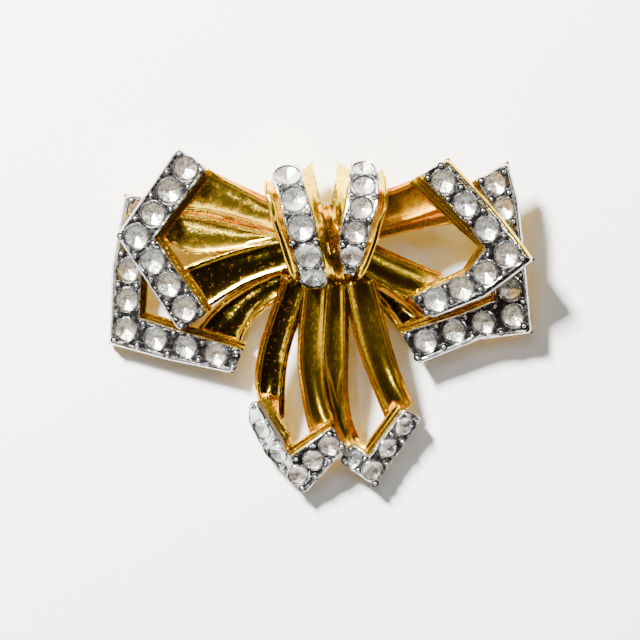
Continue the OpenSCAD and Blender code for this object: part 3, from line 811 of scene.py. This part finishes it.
@dataclass
class Band:
    """Chevron band of cut stones: plate, seats, beads, stones, and the gold back with its ledge."""

    name: str
    rows: Rows
    elbow: int
    counts: tuple[int, int]
    reaches: Span
    stone_d: float
    ledges: tuple[float, float, float]
    skirt: float
    gilt_side: bool = False
    pitch: float = 0.13 * MM
    corner: float = 0.7 * MM
    inset: float = 0.008
    back_steps: int = 6

    def __post_init__(self) -> None:
        """Work out the plate's cuts and its normals."""
        self.cuts = cuts_of(self.rows, self.skirt)
        self.normals = [normal_at(self.cuts, i) for i in range(len(self.cuts))]
        self.outs = [(a - b).normalized() for a, b in self.cuts]

    def arm(self, side: Arm) -> list[Cut]:
        """Cuts of an arm from the elbow outwards."""
        return self.cuts[self.elbow :: -1] if side is Arm.FIRST else self.cuts[self.elbow :]

    def station(self, cuts: Sequence[Cut], d: float) -> tuple[Vector, Vector, Vector, float]:
        """Place on an arm's middle line.

        Args:
            cuts: the arm's cuts.
            d: distance from the elbow.

        Returns:
            The point, the normal, the direction square to the arm and the half width.
        """
        for i in range(len(cuts) - 1):
            a, b = middle(cuts[i]), middle(cuts[i + 1])
            length = (b - a).length
            if d <= length or i == len(cuts) - 2:
                break
            d -= length
        s = d / length
        here = mix(a, b, s)
        out = mix(cuts[i][0], cuts[i + 1][0], s)
        n = (b - a).cross(out - here).normalized()
        n = -n if n.z < 0 else n
        side = n.cross(b - a).normalized()
        reach = (out - here).dot(side)
        return here, n, -side if reach < 0 else side, abs(reach)

    def step(self, side: Arm) -> float:
        """Distance from stone to stone on an arm."""
        cuts = self.arm(side)
        length = sum((middle(b) - middle(a)).length for a, b in zip(cuts, cuts[1:]))
        return length * self.reaches[side.value] / self.counts[side.value]

    def seats(self) -> list[Seat]:
        """Seats in order from the first arm's end."""
        made = []
        for side in Arm:
            cuts, step = self.arm(side), self.step(side)
            found = [self.station(cuts, k * step)[:2] for k in range(1, self.counts[side.value] + 1)]
            made.append([Seat(p, n, self.stone_d) for p, n in found])
        at_elbow = Seat(middle(self.cuts[self.elbow]), self.normals[self.elbow], self.stone_d)
        return made[0][::-1] + [at_elbow] + made[1]

    def beads(self) -> list[tuple[Vector, Vector]]:
        """Place and axis of each prong bead."""
        found = []
        for side in Arm:
            cuts, step, count = self.arm(side), self.step(side), self.counts[side.value]
            length = step * count / self.reaches[side.value]
            stands = [(k + 0.5) * step for k in range(count)] + [length - BEAD_INSET]
            for k, d in enumerate(stands):
                here, n, out, half = self.station(cuts, d)
                reach = half - BEAD_INSET
                narrow = reach < BEAD_D / 2
                for edge in (1, -1):
                    if edge == 1 or (k + side.value > 0 and not narrow):
                        found.append((here + out * (0.0 if narrow else edge * reach), n))
        e = self.elbow
        tip = middle(self.cuts[e]) + self.outs[e] * (self.stone_d / 2 + 2 * STONE_GAP + BEAD_D / 2)
        return found + [(tip, self.normals[e])]

    def stops(self) -> list[float]:
        """Places along the band, counted in cuts, at which its plate's grid has a line."""
        found = [0.0]
        for i in range(len(self.cuts) - 1):
            cells = max(2, round((middle(self.cuts[i + 1]) - middle(self.cuts[i])).length / self.pitch))
            found += [i + (k + 1) / cells for k in range(cells)]
        return found

    def section(self, t: float) -> tuple[Vector, Vector, Vector, Vector]:
        """Cut through the plate, with its corners rounded.

        Args:
            t: place along the band, counted in cuts.

        Returns:
            The outer and the inner edge, the normal and the outward direction.
        """
        last = len(self.cuts) - 1
        i = min(int(t), last - 1)
        s = t - i
        outer = mix(self.cuts[i][0], self.cuts[i + 1][0], s)
        inner = mix(self.cuts[i][1], self.cuts[i + 1][1], s)
        n = mix(self.normals[i], self.normals[i + 1], s).normalized()
        out = mix(self.outs[i], self.outs[i + 1], s).normalized()
        here = (outer + inner) / 2
        for cut in (self.cuts[0], self.cuts[last]):
            left = self.corner - (here - middle(cut)).length
            if left > 0:
                inset = self.corner - math.sqrt(self.corner**2 - left**2)
                outer, inner = outer - out * inset, inner + out * inset
        elbow = self.cuts[self.elbow][0]
        reach = (outer - elbow).length
        if reach < self.corner:
            pull = (1 - reach / self.corner) ** 2 * 0.5
            around = [self.cuts[self.elbow + k][0] - elbow for k in (-1, 1)]
            outer += sum((a.normalized() for a in around), Vector()) * self.corner * pull / 2
        return outer, inner, n, out

    def plate(self, finishes: Finishes) -> None:
        """Build the rhodium-plated plate with its seats, collars and beads."""
        seats = self.seats()
        width = max((a - b).length for a, b in self.cuts)
        wall = [(BAND_T * (1 - math.cos(a)), math.sin(a)) for a in map(math.radians, SKIRT_ANGLES)]
        columns = plate_columns(round(width / self.pitch), self.inset, wall)
        sections = [self.section(t) for t in self.stops()]

        def place(i: int, j: int) -> Vector:
            """Place of a corner of the plate."""
            outer, inner, n, out = sections[i]
            share, depth, skirt = columns[j]
            p = mix(inner, outer, share)
            if depth:
                return p - n * depth + out * self.skirt * skirt
            return p + n * self.relief(p, seats, (p - inner).length, (outer - p).length)

        bm = bmesh.new()
        lay_tube(bm, len(sections) - 1, len(columns) - 1, place)
        elbow, end, out = self.cuts[self.elbow][0], self.cuts[0][0], self.outs[self.elbow - 1]
        for f in bm.faces:
            above = (f.calc_center_median() - elbow).dot(end - elbow)
            f.material_index = int(self.gilt_side and above > 0 and f.normal.dot(out) > 0.5)
        self.trim(bm, seats, self.beads())
        shade(bm, PLATE_CREASE)
        metals = finishes.plate_metals()
        make_piece(f"{self.name}_band", bm, metals, [f"{self.name}_setting"])

    @staticmethod
    def relief(p: Vector, seats: Sequence[Seat], from_inner: float, from_outer: float) -> float:
        """Height of the plate's face: wells under the stones, a raised border line and tool marks."""
        h = sum(rise * noise.noise(p * fine) for rise, fine in TOOL_MARKS)
        border = min(from_inner, from_outer)
        if border < BORDER_W:
            h += BORDER_H * smooth(border / BORDER_SLOPE) * smooth((BORDER_W - border) / BORDER_SLOPE)
        for seat in seats:
            d = p - seat.place
            if d.length > seat.diameter:
                continue
            r = seat.diameter / 2 + STONE_GAP - (d - seat.axis * d.dot(seat.axis)).length
            if r > -DISH_W:
                h -= DISH_H * smooth((r + DISH_W) / DISH_SLOPE)
            if r > 0:
                h = -min(WELL_H, WELL_STEP + r * WELL_FALL)
        return h

    @staticmethod
    def trim(bm: BMesh, seats: Sequence[Seat], beads: Sequence[tuple[Vector, Vector]]) -> None:
        """Put a collar round each seat, and the beads."""
        collar, bead = collar_master(seats[0].diameter), bead_master()
        for seat in seats:
            stamp(bm, collar, facing(seat.place, seat.axis))
        for place, axis in beads:
            stamp(bm, bead, facing(place, axis))

    def backing(self, finishes: Finishes) -> None:
        """Build the gold back under the plate, and the moulded ledge along its inner edge."""
        depth = BAND_T + FIT_GAP
        last = len(self.cuts) - 1
        rows = []
        for i, (outer, inner) in enumerate(self.cuts):
            n, out = self.normals[i], self.outs[i]
            flat = Vector((out.x, out.y, 0)).normalized()
            j = i - 1 if i == last else i + 1
            run = (middle(self.cuts[j]) - middle(self.cuts[i])).normalized()
            slant = 1 / run.cross(out).length
            if i < self.elbow:
                share = mix(self.ledges[0], self.ledges[1], i / self.elbow)
            else:
                share = mix(self.ledges[1], self.ledges[2], (i - self.elbow) / (last - self.elbow))
            width = LEDGE_W * share * slant
            foot = inner - n * depth
            rows.append((outer - n * depth + out * self.skirt, foot, foot - flat * width, n))

        def place(i: int, j: int) -> Vector:
            """Place of a corner of the back's face."""
            k = min(i // self.back_steps, len(rows) - 2)
            s = i / self.back_steps - k
            outer, foot, edge, n = (mix(a, b, s) for a, b in zip(rows[k], rows[k + 1]))
            part, share, lift = LEDGE_COLUMNS[j]
            return (mix(foot, edge, share) if part else mix(outer, foot, share)) + n * lift * MM

        bm = bmesh.new()
        lay_sheet(bm, last * self.back_steps, len(LEDGE_COLUMNS) - 1, place)
        shade(bm, LEDGE_CREASE)
        piece = make_piece(f"{self.name}_ledge", bm, [finishes.filed])
        thicken(piece, BACK_T, 0)
        rounding = piece.modifiers.new("rounding", "BEVEL")
        rounding.width, rounding.segments, rounding.limit_method = EDGE_ROUND, 2, "ANGLE"
        rounding.angle_limit = math.radians(BEVEL_FROM)

    def build(self, finishes: Finishes, master: Mesh) -> None:
        """Build the band with its stones."""
        self.plate(finishes)
        self.backing(finishes)
        for i, seat in enumerate(self.seats()):
            set_stone(f"{self.name}_stone_{i + 1}", [seat], finishes, master, i)


def set_stone(name: str, seats: Sequence[Seat], finishes: Finishes, master: Mesh, number: int) -> None:
    """Set one stone, or the stones of one node, in their seats."""
    bm = bmesh.new()
    for k, seat in enumerate(seats):
        turn = Matrix.Rotation(STONE_TURN * (number + k), 4, "Z")
        stamp(bm, master, facing(seat.place, seat.axis, seat.diameter) @ turn)
    tint = TINT_ROUND[(number * 3 + len(name)) % len(TINT_ROUND)]
    make_piece(f"{name}_cut", bm, [finishes.glass[tint], finishes.foil], [name])


BANDS = (
    Band("left_front", (
        (-0.68, 0.993, 0.645, -0.535, 0.875, 0.67),
        (-0.96, 0.49, 0.55, -0.78, 0.48, 0.575),
        (-0.67, -0.06, 0.43, -0.535, 0.045, 0.46),
    ), 1, (3, 3), (0.88, 0.84), 3.0 * MM, (1, 1, 1), 0.3 * MM),
    Band("right_front", (
        (0.587, 0.93, 0.7, 0.457, 0.833, 0.66),
        (0.789, 0.668, 0.655, 0.676, 0.55, 0.622),
        (0.988, 0.346, 0.6, 0.76, 0.415, 0.58),
        (0.759, 0.133, 0.53, 0.668, 0.275, 0.535),
        (0.517, 0.01, 0.455, 0.41, 0.135, 0.49),
    ), 2, (3, 3), (0.85, 0.83), 3.0 * MM, (2, 0.9, 0.1), 0.8 * MM, gilt_side=True),
    Band("left_back", (
        (-0.925, 0.725, 0.385, -0.79, 0.7, 0.395),
        (-0.985, 0.33, 0.285, -0.84, 0.37, 0.32),
        (-1, -0.135, 0.17, -0.853, 0.02, 0.235),
        (-0.732, -0.226, 0.177, -0.615, -0.072, 0.24),
        (-0.42, -0.306, 0.21, -0.368, -0.163, 0.265),
    ), 2, (4, 3), (0.9, 0.8), 2.75 * MM, (1, 1, 1), 0.6 * MM),
    Band("right_back", (
        (0.872, 0.913, 0.5, 0.718, 0.804, 0.49),
        (0.918, 0.695, 0.445, 0.788, 0.66, 0.435),
        (0.984, -0.072, 0.265, 0.811, 0.123, 0.315),
        (0.737, -0.112, 0.26, 0.653, 0.043, 0.315),
        (0.457, -0.25, 0.24, 0.368, -0.066, 0.3),
    ), 2, (5, 3), (0.92, 0.84), 2.75 * MM, (0.8, 0.9, 1), 0.5 * MM),
    Band("left_tail", (
        (-0.345, -0.472, 0.21, -0.312, -0.455, 0.34),
        (-0.347, -0.575, 0.155, -0.27, -0.552, 0.37),
        (-0.266, -0.77, 0.125, -0.196, -0.695, 0.355),
        (-0.079, -0.993, 0.15, -0.145, -0.775, 0.325),
        (0.112, -0.735, 0.315, 0.047, -0.598, 0.38),
    ), 3, (2, 2), (0.67, 0.77), 2.5 * MM, (1.2, 0.9, 0.5), 0.2 * MM),
    Band("right_tail", (
        (0.476, -0.564, 0.16, 0.387, -0.506, 0.33),
        (0.252, -0.953, 0.145, 0.219, -0.77, 0.305),
        (0.07, -0.81, 0.175, 0.135, -0.7, 0.225),
    ), 1, (2, 1), (0.78, 0.72), 2.5 * MM, (1, 1, 1), 0.4 * MM),
)


# ---- Knot ------------------------------------------------------------------------------------------------

ARCH_MID, ARCH_HALF, ARCH_SPRING = 0.552, 0.39, 0.32
EDGE_DROP, VALLEY_DROP = 0.26 * RISE, 0.24 * RISE
KNOT_STONES = 5
# Columns of a lobe: between which two points of its row (0 edge, 1 and 2 strap, 3 valley), share, lift in mm
LOBE_COLUMNS = (
    (0, 1, 0.0, -0.08), (0, 1, 0.04, 0.0), (0, 1, 0.14, 0.04), (0, 1, 0.24, -0.05), (0, 1, 0.32, -0.22),
    (0, 1, 0.5, -0.34), (0, 1, 0.7, -0.3), (0, 1, 0.85, -0.1), (1, 1, 0.0, 0.0), (1, 2, 0.5, 0.0),
    (2, 2, 0.0, 0.0), (2, 3, 0.2, 0.05), (2, 3, 0.5, -0.12), (2, 3, 0.8, -0.1), (3, 3, 0.0, 0.0),
)
# Columns of the valley: share of its width, lift in mm
VALLEY_COLUMNS = (
    (0.0, 0.0), (0.1, 0.3), (0.22, 0.55), (0.34, 0.3), (0.5, 0.0), (0.66, 0.3), (0.78, 0.55), (0.9, 0.3),
    (1.0, 0.0),
)
# Rows: x and y of the lobe's outer edge, of its strap's outer and inner edge, and of the valley beside it
LEFT_LOBE = (
    (-0.27, 0.81, -0.233, 0.844, -0.103, 0.9, -0.047, 0.918),
    (-0.27, 0.753, -0.219, 0.77, -0.084, 0.804, -0.028, 0.81),
    (-0.252, 0.667, -0.191, 0.678, -0.061, 0.684, 0, 0.667),
    (-0.233, 0.569, -0.177, 0.569, -0.033, 0.569, 0.028, 0.569),
    (-0.205, 0.466, -0.149, 0.466, -0.019, 0.466, 0.042, 0.466),
    (-0.177, 0.352, -0.121, 0.352, 0, 0.363, 0.061, 0.352),
    (-0.149, 0.26, -0.098, 0.255, 0.014, 0.266, 0.075, 0.26),
    (-0.121, 0.2, -0.079, 0.187, 0.023, 0.19, 0.089, 0.186),
)
RIGHT_LOBE = (
    (0.28, 0.878, 0.252, 0.896, 0.131, 0.913, 0.075, 0.918),
    (0.303, 0.804, 0.266, 0.81, 0.126, 0.815, 0.061, 0.81),
    (0.308, 0.667, 0.261, 0.672, 0.117, 0.678, 0.042, 0.667),
    (0.28, 0.552, 0.233, 0.564, 0.093, 0.569, 0.042, 0.569),
    (0.261, 0.455, 0.214, 0.461, 0.079, 0.466, 0.051, 0.466),
    (0.228, 0.34, 0.182, 0.346, 0.089, 0.358, 0.07, 0.352),
    (0.196, 0.255, 0.149, 0.266, 0.103, 0.278, 0.084, 0.26),
    (0.154, 0.19, 0.131, 0.19, 0.112, 0.19, 0.103, 0.18),
)


def arch(x: float, y: float) -> tuple[Vector, Vector]:
    """Point and normal of the knot's arch at a place given in shares."""
    half, tall = ARCH_HALF * HALF_H, (1 - ARCH_SPRING) * RISE
    u = (y - ARCH_MID) / ARCH_HALF
    v = math.sqrt(max(0.0, 1 - u * u))
    place = Vector((x * HALF_W, y * HALF_H, ARCH_SPRING * RISE + tall * v))
    return place, Vector((0, u / half, v / tall)).normalized()


def under(x: float, y: float, depth: float) -> Vector:
    """Point at a depth under the arch, square to it."""
    place, n = arch(x, y)
    return place - n * depth


def below(x: float, y: float, drop: float) -> Vector:
    """Point straight below the arch."""
    return arch(x, y)[0] - Vector((0, 0, drop))


@dataclass
class Lobe:
    """One lobe of the knot: its gold body, the strap over it and the strap's stones."""

    name: str
    rows: Sequence[Sequence[float]]
    last: int
    stone_d: float
    angles: Span
    steps: int = 5
    strap_steps: int = 16
    strap_cells: int = 26
    inset: float = 0.01
    bead_rise: float = 0.25 * MM

    def fine(self, t: float) -> list[float]:
        """Row at a place counted in rows."""
        i = min(int(t), len(self.rows) - 2)
        near = [self.rows[min(max(k, 0), len(self.rows) - 1)] for k in (i - 1, i, i + 1, i + 2)]
        return [spline([Vector((v, 0, 0)) for v in column], 1 + t - i).x for column in zip(*near)]

    def seats(self) -> list[Seat]:
        """Seats from the top of the arch's far side downwards."""
        rows = self.rows[: self.last + 1]
        line = [((r[2] + r[4]) / 2, (r[3] + r[5]) / 2) for r in rows]
        made = []
        for k in range(KNOT_STONES):
            angle = math.radians(mix(self.angles[0], self.angles[1], k / (KNOT_STONES - 1)))
            y = ARCH_MID - ARCH_HALF * math.sin(angle)
            i = next((i for i in range(len(line) - 2) if y >= line[i + 1][1]), len(line) - 2)
            a, b = line[i], line[i + 1]
            x = mix(a[0], b[0], (a[1] - y) / (a[1] - b[1]))
            made.append(Seat(*arch(x, y), self.stone_d))
        return made

    def body(self, finishes: Finishes) -> None:
        """Build the lobe's gold body with its fluted walls."""

        def place(i: int, j: int) -> Vector:
            """Place of a corner of the lobe's face."""
            row = self.fine(i / self.steps)
            points = (
                below(row[0], row[1], EDGE_DROP),
                under(row[2], row[3], BAND_T + FIT_GAP),
                under(row[4], row[5], BAND_T + FIT_GAP),
                below(row[6], row[7], VALLEY_DROP),
            )
            a, b, share, lift = LOBE_COLUMNS[j]
            return mix(points[a], points[b], share) + arch(row[0], row[1])[1] * lift * MM

        bm = bmesh.new()
        verts = lay_sheet(bm, (len(self.rows) - 1) * self.steps, len(LOBE_COLUMNS) - 1, place)
        close_down(bm, verts, KNOT_FLOOR)
        shade(bm, KNOT_CREASE)
        make_piece(f"{self.name}_lobe", bm, [finishes.gold])

    def strap(self, finishes: Finishes) -> None:
        """Build the rhodium-plated strap with its collars and beads."""
        seats = self.seats()
        wall = [(depth, 0.0) for depth in (EDGE_ROUND, BAND_T * 0.5, BAND_T)]
        columns = plate_columns(self.strap_cells, self.inset, wall)

        def place(i: int, j: int) -> Vector:
            """Place of a corner of the strap."""
            row = self.fine(i / self.strap_steps)
            share, depth, _ = columns[j]
            x, y = mix(row[2], row[4], share), mix(row[3], row[5], share)
            p, n = arch(x, y)
            if depth:
                return p - n * depth
            width = abs(row[4] - row[2]) * HALF_W
            return p + n * Band.relief(p, seats, share * width, (1 - share) * width)

        bm = bmesh.new()
        lay_tube(bm, self.last * self.strap_steps, len(columns) - 1, place)
        beads = []
        for k, (a, b) in enumerate(zip(seats, seats[1:])):
            row = self.rows[k + 1]
            n = (a.axis + b.axis).normalized()
            reach = abs(row[4] - row[2]) * HALF_W / 2 - BEAD_INSET
            between = (a.place + b.place) / 2 + n * self.bead_rise
            beads += [(between + Vector((side * reach, 0, 0)), n) for side in (-1, 1)]
        Band.trim(bm, seats, beads)
        shade(bm, PLATE_CREASE)
        metals = finishes.plate_metals()
        make_piece(f"{self.name}_strap", bm, metals, [f"{self.name}_setting"])

    def build(self, finishes: Finishes, master: Mesh) -> None:
        """Build the lobe, its strap and its stones."""
        self.body(finishes)
        self.strap(finishes)
        set_stone(f"{self.name}_stones", self.seats(), finishes, master, 2)


@dataclass
class Valley:
    """Ridged valley between the lobes."""

    left: Lobe
    right: Lobe
    first: int = 2
    steps: int = 6

    def build(self, finishes: Finishes) -> None:
        """Build the valley down to the knot's underside."""
        sunk = Vector((FLUTE, 0, 0))

        def place(i: int, j: int) -> Vector:
            """Place of a corner of the valley's face."""
            t = self.first + i / self.steps
            a, b = (below(*side.fine(t)[6:8], VALLEY_DROP) for side in (self.left, self.right))
            share, lift = VALLEY_COLUMNS[j]
            return mix(a - sunk, b + sunk, share) + Vector((0, 0, lift * MM))

        bm = bmesh.new()
        rows = (len(self.left.rows) - 1 - self.first) * self.steps
        verts = lay_sheet(bm, rows, len(VALLEY_COLUMNS) - 1, place)
        close_down(bm, verts, KNOT_FLOOR)
        shade(bm, KNOT_CREASE)
        make_piece("knot_valley", bm, [finishes.gold])


# ---- Pin -------------------------------------------------------------------------------------------------


@dataclass
class Pin:
    """Plain pin behind the bow: stem, hinge lug and catch."""

    stem_d: float = 0.9 * MM
    stem_l: float = 32 * MM
    span: float = 29 * MM
    post_w: float = 2 * MM
    stem_z: float = 1.3 * MM
    place_y: float = 0.665 * HALF_H
    roots: Span = (0.26 * RISE, 0.34 * RISE)
    shoulder: float = 0.5 * MM
    rounding: float = 0.12 * MM

    def lie(self, x: float) -> Matrix:
        """Transform that turns +Z to +X and moves to a place along the stem's line."""
        return Matrix.Translation((x, self.place_y, self.stem_z)) @ Matrix.Rotation(math.pi / 2, 4, "Y")

    def stem(self, finishes: Finishes) -> None:
        """Turn the stem with its point."""
        r, tip = self.stem_d / 2, 3 * self.stem_d
        profile = (
            (0.0, 0.0), (r * 0.8, 0.0), (r, 0.1 * MM), (r, self.stem_l - tip),
            (r * 0.75, self.stem_l - tip * 0.4), (r * 0.25, self.stem_l - EDGE_ROUND), (0.0, self.stem_l),
        )
        bm = bmesh.new()
        bm.from_mesh(lathe("stem", profile, 24))
        bmesh.ops.transform(bm, matrix=self.lie(-self.stem_l / 2), verts=bm.verts)
        bmesh.ops.recalc_face_normals(bm, faces=bm.faces)
        shade(bm, PIN_CREASE)
        make_piece("pin_stem_wire", bm, [finishes.steel], ["pin_stem"])

    def posts(self, finishes: Finishes) -> None:
        """Build the hinge lug and the catch, soldered under the back loops."""
        bm = bmesh.new()
        for side, root in zip((-1, 1), self.roots):
            made = bmesh.ops.create_cone(
                bm, cap_ends=True, segments=24, radius1=self.stem_z, radius2=self.stem_z, depth=self.post_w,
                matrix=self.lie(side * self.span / 2),
            )["verts"]
            for v in made:
                if v.co.z > self.stem_z + self.shoulder:
                    v.co.z = root
            edges = once(e for v in made for e in v.link_edges)
            sharp = [e for e in edges if e.calc_face_angle(0.0) > math.radians(PIN_CREASE)]
            bmesh.ops.bevel(
                bm, geom=sharp, offset=self.rounding, segments=2, profile=0.5, affect="EDGES", material=-1
            )
        shade(bm, PIN_CREASE)
        make_piece("hinge_lug_and_catch", bm, [finishes.gold])

    def build(self, finishes: Finishes) -> None:
        """Build the pin's pieces."""
        self.stem(finishes)
        self.posts(finishes)


# ---- Table and light -------------------------------------------------------------------------------------


@dataclass(frozen=True)
class Panel:
    """Soft rectangular lamp that faces the bow."""

    name: str
    place: tuple[float, float, float]
    size: Span
    watts: float
    colour: str

    def hang(self) -> None:
        """Hang the lamp."""
        data = bpy.data.lights.new(self.name, "AREA")
        data.shape = "RECTANGLE"
        data.size, data.size_y = self.size
        data.energy = self.watts
        data.color = linear(self.colour)[:3]
        lamp = add_object(self.name, data)
        lamp.location = self.place
        lamp.rotation_euler = (Vector((0, 0, 0)) - Vector(self.place)).to_track_quat("-Z", "Y").to_euler()


PANELS = (
    Panel("key_panel", (-0.29, 0.39, 0.35), (0.1, 0.1), 38.0, "#FFFCF4"),
    Panel("top_card", (-0.05, 0.29, 0.55), (0.36, 0.12), 0.8, "#FFF8EC"),
    Panel("left_card", (-0.5, 0.0, 0.3), (0.1, 0.4), 0.25, "#FFF8EC"),
    Panel("right_card", (0.5, 0.1, 0.3), (0.1, 0.35), 0.15, "#FFF4DC"),
    Panel("right_spot", (0.36, 0.16, 0.42), (0.03, 0.03), 0.4, "#F4F8FF"),
    Panel("front_spot", (-0.12, -0.34, 0.42), (0.03, 0.03), 0.35, "#F4F8FF"),
)


@dataclass
class Studio:
    """White table, soft light from the upper left, and a camera straight above."""

    px_per_mm: float = 7.5
    frame_px: float = 640.0
    height: float = 1.5
    aim: Span = (-0.27 * MM, 0.2 * MM)
    lens_level: float = 6 * MM
    sensor_mm: float = 36.0
    clip: Span = (0.1, 10.0)
    table_half: float = 2.0

    def camera(self) -> None:
        """Hang the camera over the bow."""
        data = bpy.data.cameras.new("camera")
        camera = add_object("camera", data)
        bpy.context.scene.camera = camera
        view = self.frame_px / self.px_per_mm * MM
        data.sensor_width = self.sensor_mm
        data.lens = self.sensor_mm * (self.height - self.lens_level) / view
        data.clip_start, data.clip_end = self.clip
        data.dof.use_dof = False
        camera.location = (*self.aim, self.height)

    def table(self) -> None:
        """Lay the table's white laminate."""
        material, tree, place = blank_material("matt_white_laminate")
        rough = add_range(tree, add_noise(tree, place, 3.0, 3.0), (0.0, 1.0), (0.5, 0.7))
        add_surface(tree, {"Base Color": linear("#EFF1F2"), "Roughness": rough, "Specular IOR Level": 0.2})
        bm = bmesh.new()
        bmesh.ops.create_grid(bm, x_segments=4, y_segments=4, size=self.table_half)
        floor = add_object("table", mesh_of("table", bm))
        floor.data.materials.append(material)

    def build(self) -> None:
        """Set up the camera, the table, the lamps and the room."""
        self.camera()
        self.table()
        for panel in PANELS:
            panel.hang()
        self.room()

    def room(self) -> None:
        """Make the room: dark overhead, pale low down, and dimmer on the side of the tails."""
        world = bpy.data.worlds.new("room")
        world.use_nodes = True
        tree = world.node_tree
        tree.nodes.clear()
        way = add_node(tree, "ShaderNodeTexCoord").outputs["Generated"]
        axes = add_node(tree, "ShaderNodeSeparateXYZ", {"Vector": way}).outputs
        low = add_range(tree, axes["Z"], (0.05, 0.55), (0.85, 0.03), interpolation_type="SMOOTHSTEP")
        far = add_range(tree, axes["Y"], (-0.6, 0.6), (0.25, 1.0))
        both = add_node(tree, "ShaderNodeMath", {0: low, 1: far}, operation="MULTIPLY").outputs[0]
        tint = add_tone(tree, axes["Z"], "#FFF6E2", "#D08A4C")
        light = add_node(tree, "ShaderNodeBackground", {"Color": tint, "Strength": both})
        add_node(tree, "ShaderNodeOutputWorld", {"Surface": light.outputs[0]})
        bpy.context.scene.world = world


def main() -> None:
    """Build the brooch and the studio."""
    logging.basicConfig(level=logging.INFO, format="%(message)s")
    finishes = Finishes()
    Studio().build()
    polished, satin, porous, filed = Skin
    for ribbons in (
        Ribbons("left_front_ribbons", LEFT_FRONT_RIBBONS, (satin, satin, polished), leaf=1),
        Ribbons("left_back_ribbons", LEFT_BACK_RIBBONS, (polished, polished)),
        Ribbons("right_front_ribbons", RIGHT_FRONT_RIBBONS, (porous, porous, filed)),
        Ribbons("right_back_ribbons", RIGHT_BACK_RIBBONS, (polished, polished)),
        Ribbons("tail_ribbons", TAIL_RIBBONS, (polished, filed, filed, filed)),
    ):
        ribbons.build(finishes)
    master = BrilliantCut().master()
    for band in BANDS:
        band.build(finishes, master)
    left = Lobe("left_knot", LEFT_LOBE, 7, 3.3 * MM, (-47, 52))
    right = Lobe("right_knot", RIGHT_LOBE, 6, 2.8 * MM, (-56, 27))
    left.build(finishes, master)
    right.build(finishes, master)
    Valley(left, right).build(finishes)
    Pin().build(finishes)


if __name__ == "__main__":
    main()
